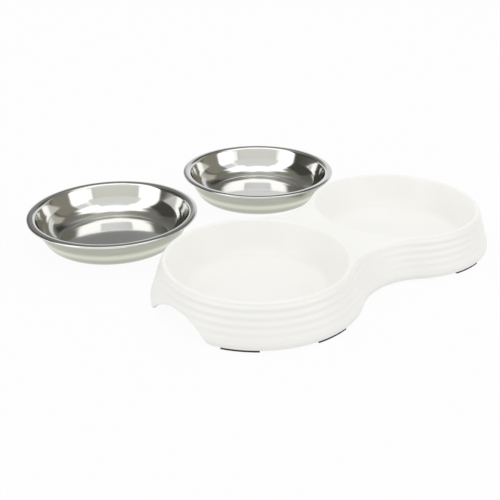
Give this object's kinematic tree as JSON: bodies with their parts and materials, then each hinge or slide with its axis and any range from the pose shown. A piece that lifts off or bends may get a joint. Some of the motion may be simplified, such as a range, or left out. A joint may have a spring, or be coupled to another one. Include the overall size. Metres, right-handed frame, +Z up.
{
  "type": "double pet bowl",
  "caption": "Low pet feeding set: a rippled white plastic holder of figure-eight outline with round wells and rubber strips under its edge, and loose round pressed steel bowls beside it.",
  "frame": {"origin": "middle of the whole set's footprint, on the surface that it stands on", "axes": "+X along the long axis of the holder, from its left lobe to its right one; +Y from the holder towards the loose bowls behind it; +Z up"},
  "size_m": [0.2974, 0.2792, 0.0291],
  "materials": {
    "holder_plastic": "moulded, satin gloss, warm white",
    "bowl_steel": "polished stainless steel",
    "strip_rubber": "matt black"
  },
  "bodies": {
    "holder": {"holder": "holder_plastic", "foot_left_front_outer": "strip_rubber", "foot_left_front_inner": "strip_rubber", "foot_left_back_outer": "strip_rubber", "foot_left_back_inner": "strip_rubber", "foot_right_front_outer": "strip_rubber", "foot_right_front_inner": "strip_rubber", "foot_right_back_outer": "strip_rubber", "foot_right_back_inner": "strip_rubber"},
    "bowl_near": {"bowl_near": "bowl_steel"},
    "bowl_far": {"bowl_far": "bowl_steel"}
  },
  "joints": [
    {"name": "bowl_near_lift", "type": "slide", "parent": "holder", "child": "bowl_near", "axis": [0, 0, 1], "range_m": [0, 0.06]},
    {"name": "bowl_far_lift", "type": "slide", "parent": "holder", "child": "bowl_far", "axis": [0, 0, 1], "range_m": [0, 0.06]}
  ]
}
